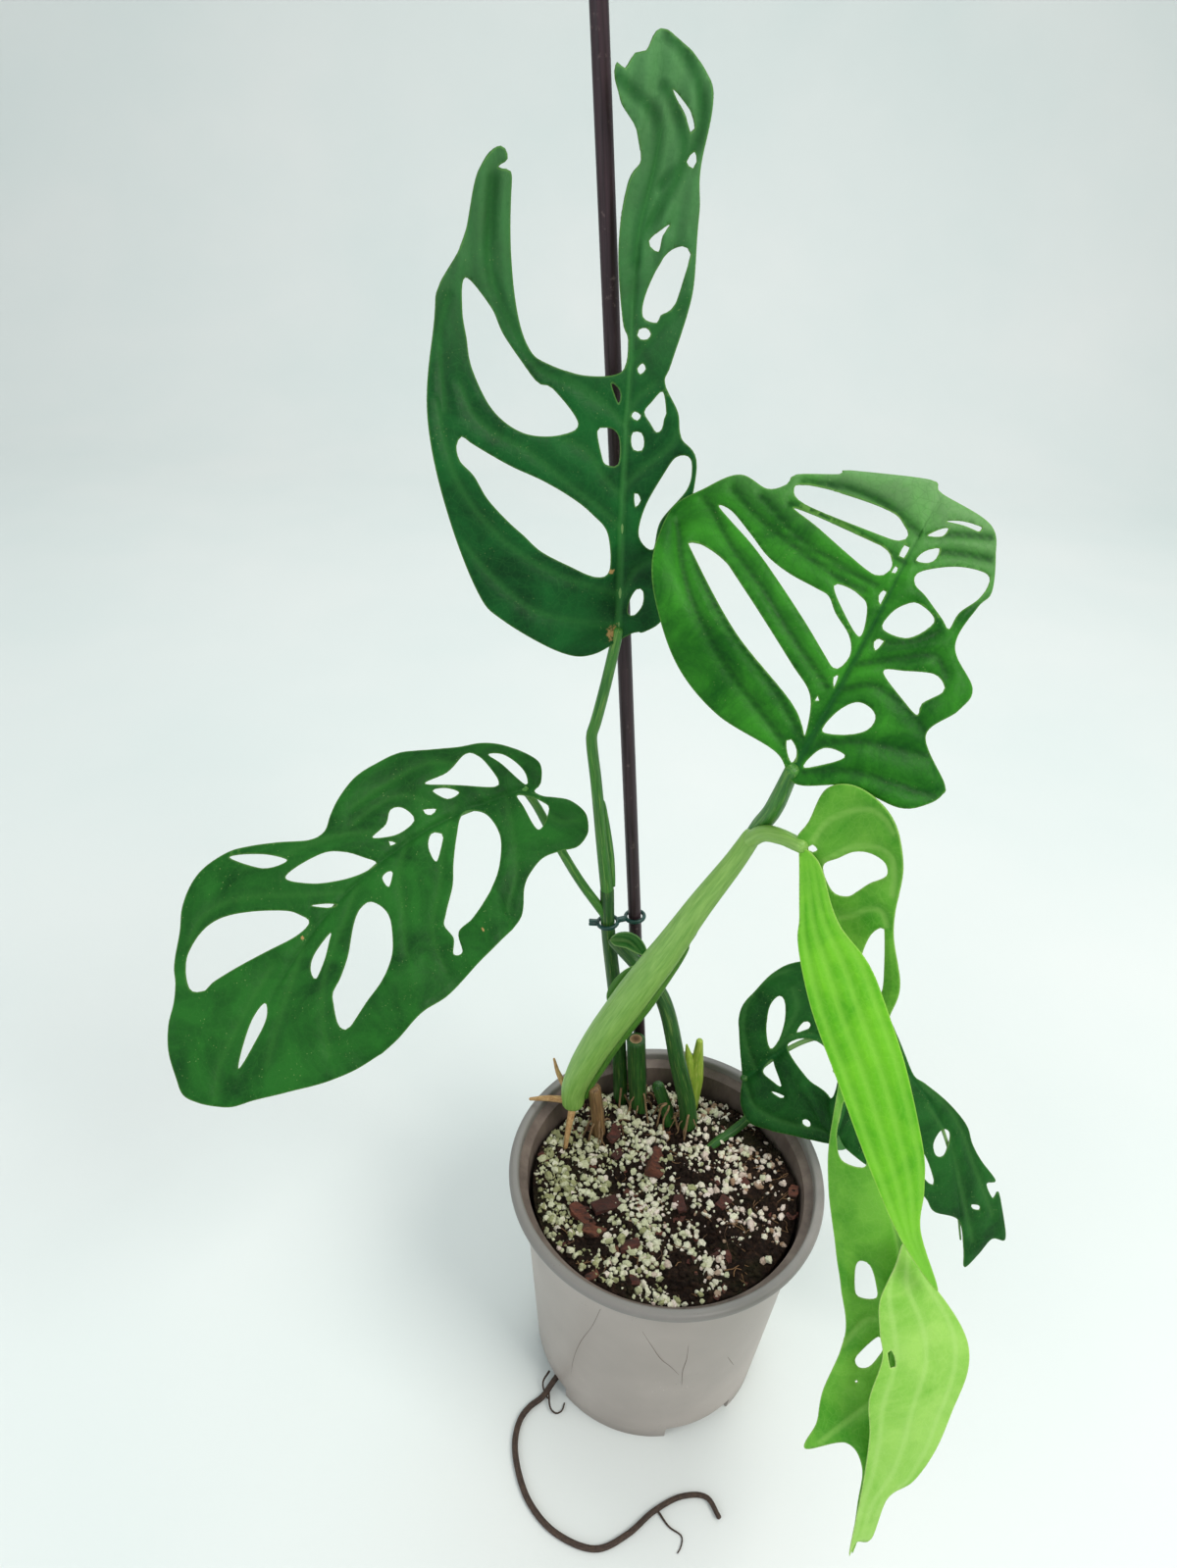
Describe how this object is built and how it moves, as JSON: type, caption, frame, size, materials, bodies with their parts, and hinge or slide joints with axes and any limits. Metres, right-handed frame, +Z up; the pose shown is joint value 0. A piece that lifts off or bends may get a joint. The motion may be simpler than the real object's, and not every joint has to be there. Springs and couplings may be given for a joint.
{
  "type": "potted monstera epipremnoides",
  "caption": "Young climbing aroid with large perforated leaves in a round nursery pot of soil, tied to a thin cane.",
  "frame": {"origin": "centre of the flat pad in the middle of the pot's underside, in the plane that the pot stands on", "axes": "+Z up along the pot's axis; -Y is the front that the large leaves face; +X is to the right seen from the front"},
  "size_m": [0.3215, 0.1919, 0.6003],
  "materials": {
    "pot": "smooth taupe injection-moulded plastic with a soft sheen",
    "soil": "dark potting mix with pale perlite grains, bark chips and fibres",
    "cane": "satin purple-brown plastic cane",
    "clip": "dark green plastic plant clip",
    "dark_leaf": "satin dark green blade with sunken veins and a paler underside",
    "mid_leaf": "satin mid green blade with sunken veins and a paler underside",
    "young_leaf": "glossy bright green young blade with pale veins",
    "stem": "dull dark green stem",
    "pale_stem": "light green sheathed petiole with a satin skin",
    "root": "matt yellow-tan aerial root",
    "dark_root": "matt dark brown root"
  },
  "bodies": {
    "root": {"pot": "pot", "soil": "soil", "stake": "cane", "plant_clip": "clip", "stem_main": "stem", "stem_second": "stem", "stem_stub": "stem", "stem_low": "stem", "sheath": "pale_stem", "sheath_foot": "stem", "petiole_upper": "stem", "petiole_left": "stem", "petiole_young": "pale_stem", "petiole_right": "stem", "petiole_low": "stem", "shoot": "young_leaf", "root_air_1": "root", "root_air_2": "root", "root_air_3": "root", "root_floor": "dark_root", "leaf_upper": "dark_leaf", "leaf_left": "dark_leaf", "leaf_right": "mid_leaf", "leaf_low": "dark_leaf", "leaf_young": "young_leaf"}
  },
  "joints": []
}
